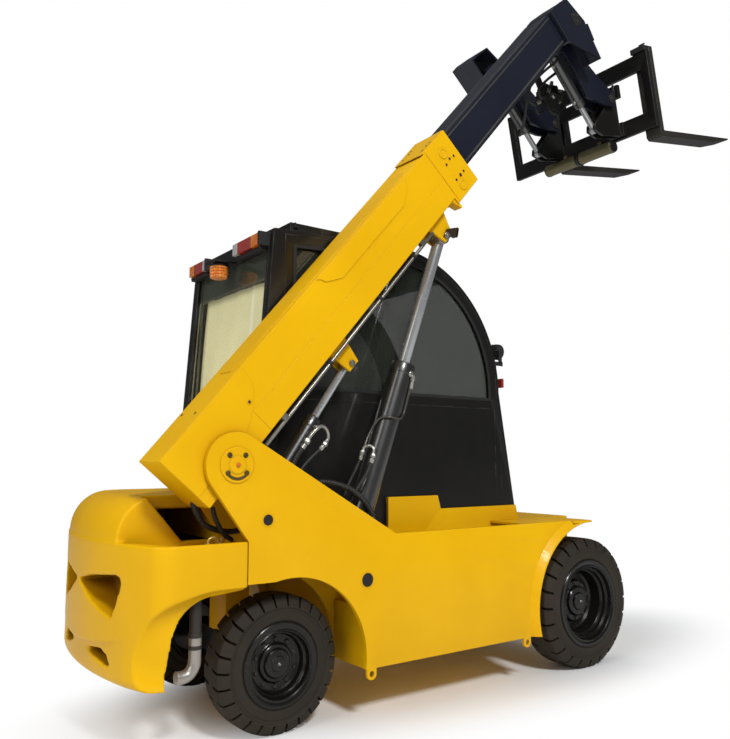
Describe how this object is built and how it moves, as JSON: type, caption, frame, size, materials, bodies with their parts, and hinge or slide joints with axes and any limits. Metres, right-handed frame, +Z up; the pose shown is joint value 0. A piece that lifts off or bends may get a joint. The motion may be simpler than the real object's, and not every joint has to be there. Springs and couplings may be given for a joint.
{
  "type": "telehandler",
  "caption": "Compact rough-terrain telehandler with a telescopic boom beside an enclosed cab, a tilting fork carriage and a rounded rear counterweight.",
  "frame": {"origin": "on the ground under the middle of the machine's overall box as it stands, forks included", "axes": "+X forward, +Y to the machine's left, +Z up"},
  "size_m": [4.3207, 1.33, 4.0097],
  "materials": {
    "body_yellow": "gloss paint",
    "cab_black": "satin paint",
    "boom_black": "gloss paint",
    "fork_steel": "satin paint, worn",
    "tyre_rubber": "moulded rubber",
    "rim_black": "satin paint",
    "cylinder_black": "satin paint",
    "rod_chrome": "polished",
    "pin_steel": "plated steel",
    "engine_iron": "painted casting",
    "window_glass": "tinted glass",
    "seat_fabric": "woven fabric",
    "trim_plastic": "moulded",
    "lamp_red": "moulded lens",
    "lamp_amber": "moulded lens"
  },
  "bodies": {
    "machine": {"axles": "cab_black", "beacon": "lamp_amber", "cab_end_walls": "cab_black", "cab_glass": "window_glass", "cab_lamps": "lamp_red", "cab_left_frame": "cab_black", "cab_right_wall": "cab_black", "cab_roof": "cab_black", "chassis_frame": "body_yellow", "counterweight": "body_yellow", "engine_block": "engine_iron", "engine_hood": "body_yellow", "exhaust_pipe": "pin_steel", "frame_pins": "pin_steel", "frame_side_left": "body_yellow", "frame_side_right": "body_yellow", "operator_seat": "seat_fabric", "steering_column": "trim_plastic"},
    "front_wheel_left": {"front_tyre_left": "tyre_rubber", "front_rim_left": "rim_black"},
    "front_wheel_right": {"front_tyre_right": "tyre_rubber", "front_rim_right": "rim_black"},
    "rear_wheel_left": {"rear_tyre_left": "tyre_rubber", "rear_rim_left": "rim_black"},
    "rear_wheel_right": {"rear_tyre_right": "tyre_rubber", "rear_rim_right": "rim_black"},
    "steering_left": {"knuckle_left": "cab_black"},
    "steering_right": {"knuckle_right": "cab_black"},
    "door": {"cab_door": "cab_black", "door_glass": "window_glass"},
    "boom": {"boom_outer": "body_yellow", "boom_pipe": "pin_steel"},
    "extension": {"boom_inner": "boom_black", "boom_head": "boom_black"},
    "lift_cylinder": {"lift_barrel": "cylinder_black"},
    "lift_piston": {"lift_rod": "rod_chrome"},
    "level_cylinder": {"level_barrel": "cylinder_black"},
    "level_piston": {"level_rod": "rod_chrome"},
    "tilt_cylinders": {"tilt_barrels": "cylinder_black"},
    "tilt_pistons": {"tilt_rods": "rod_chrome"},
    "tilting_frame": {"tilt_frame": "boom_black", "side_shift_cylinder": "pin_steel"},
    "carriage": {"fork_carriage": "boom_black"},
    "right_fork": {"fork_right": "fork_steel"},
    "left_fork": {"fork_left": "fork_steel"}
  },
  "joints": [
    {"name": "boom_lift", "type": "hinge", "parent": "machine", "child": "boom", "pos_m": [-1.704, -0.471, 1.136], "axis": [0, -1, 0], "range_deg": [-52.2, 10.8]},
    {"name": "boom_extend", "type": "slide", "parent": "boom", "child": "extension", "axis": [-0.6534, 0, -0.757], "range_m": [-0.25, 1]},
    {"name": "lift_cylinder_swing", "type": "hinge", "parent": "machine", "child": "lift_cylinder", "pos_m": [-1.099, -0.471, 0.6], "axis": [0, -1, 0], "range_deg": [-52.02, 11]},
    {"name": "lift_cylinder_stroke", "type": "slide", "parent": "lift_cylinder", "child": "lift_piston", "axis": [0.3419, 0, 0.9397], "range_m": [-0.7058, 0.1476]},
    {"name": "level_cylinder_swing", "type": "hinge", "parent": "machine", "child": "level_cylinder", "pos_m": [-1.54, -0.471, 0.93], "axis": [0, -1, 0], "range_deg": [-53.91, 11.39]},
    {"name": "level_cylinder_stroke", "type": "slide", "parent": "level_cylinder", "child": "level_piston", "axis": [0.5705, 0, 0.8213], "range_m": [-0.229, 0.049]},
    {"name": "carriage_tilt", "type": "hinge", "parent": "extension", "child": "tilting_frame", "pos_m": [1.12061, -0.1465, 3.58957], "axis": [0, 1, 0], "range_deg": [-55, 25]},
    {"name": "tilt_cylinder_swing", "type": "hinge", "parent": "extension", "child": "tilt_cylinders", "pos_m": [0.57747, -0.1465, 3.76381], "axis": [0, 1, 0], "range_deg": [-11.05, 5.19]},
    {"name": "tilt_cylinder_stroke", "type": "slide", "parent": "tilt_cylinders", "child": "tilt_pistons", "axis": [-0.7163, 0, 0.6978], "range_m": [-0.2155, 0.0991]},
    {"name": "side_shift", "type": "slide", "parent": "tilting_frame", "child": "carriage", "axis": [0, 1, 0], "range_m": [-0.1, 0.1]},
    {"name": "fork_right_slide", "type": "slide", "parent": "carriage", "child": "right_fork", "axis": [0, 1, 0], "range_m": [0, 0.3]},
    {"name": "fork_left_slide", "type": "slide", "parent": "carriage", "child": "left_fork", "axis": [0, 1, 0], "range_m": [-0.25, 0.38]},
    {"name": "cab_door_hinge", "type": "hinge", "parent": "machine", "child": "door", "pos_m": [-0.68, 0.61, 1.5], "axis": [0, 0, 1], "range_deg": [0, 80]},
    {"name": "steer_left", "type": "hinge", "parent": "machine", "child": "steering_left", "pos_m": [-1.429, 0.315, 0.29], "axis": [0, 0, 1], "range_deg": [-35, 35]},
    {"name": "steer_right", "type": "hinge", "parent": "machine", "child": "steering_right", "pos_m": [-1.429, -0.315, 0.29], "axis": [0, 0, 1], "range_deg": [-35, 35]},
    {"name": "rear_wheel_left_spin", "type": "hinge", "parent": "steering_left", "child": "rear_wheel_left", "pos_m": [-1.429, 0.432, 0.29], "axis": [0, 1, 0], "continuous": true},
    {"name": "rear_wheel_right_spin", "type": "hinge", "parent": "steering_right", "child": "rear_wheel_right", "pos_m": [-1.429, -0.432, 0.29], "axis": [0, 1, 0], "continuous": true},
    {"name": "front_wheel_left_spin", "type": "hinge", "parent": "machine", "child": "front_wheel_left", "pos_m": [0.493, 0.507, 0.355], "axis": [0, 1, 0], "continuous": true},
    {"name": "front_wheel_right_spin", "type": "hinge", "parent": "machine", "child": "front_wheel_right", "pos_m": [0.493, -0.507, 0.355], "axis": [0, 1, 0], "continuous": true}
  ],
  "couplings": [
    {"joint": "lift_cylinder_swing", "follows": "boom_lift", "ratio": 0.99081},
    {"joint": "lift_cylinder_stroke", "follows": "boom_lift", "m_per_rad": 0.77246},
    {"joint": "level_cylinder_swing", "follows": "boom_lift", "ratio": 1.027},
    {"joint": "level_cylinder_stroke", "follows": "boom_lift", "m_per_rad": 0.24918},
    {"joint": "tilt_cylinder_swing", "follows": "carriage_tilt", "ratio": 0.19543},
    {"joint": "tilt_cylinder_stroke", "follows": "carriage_tilt", "m_per_rad": 0.22243},
    {"joint": "steer_right", "follows": "steer_left", "ratio": 1}
  ]
}
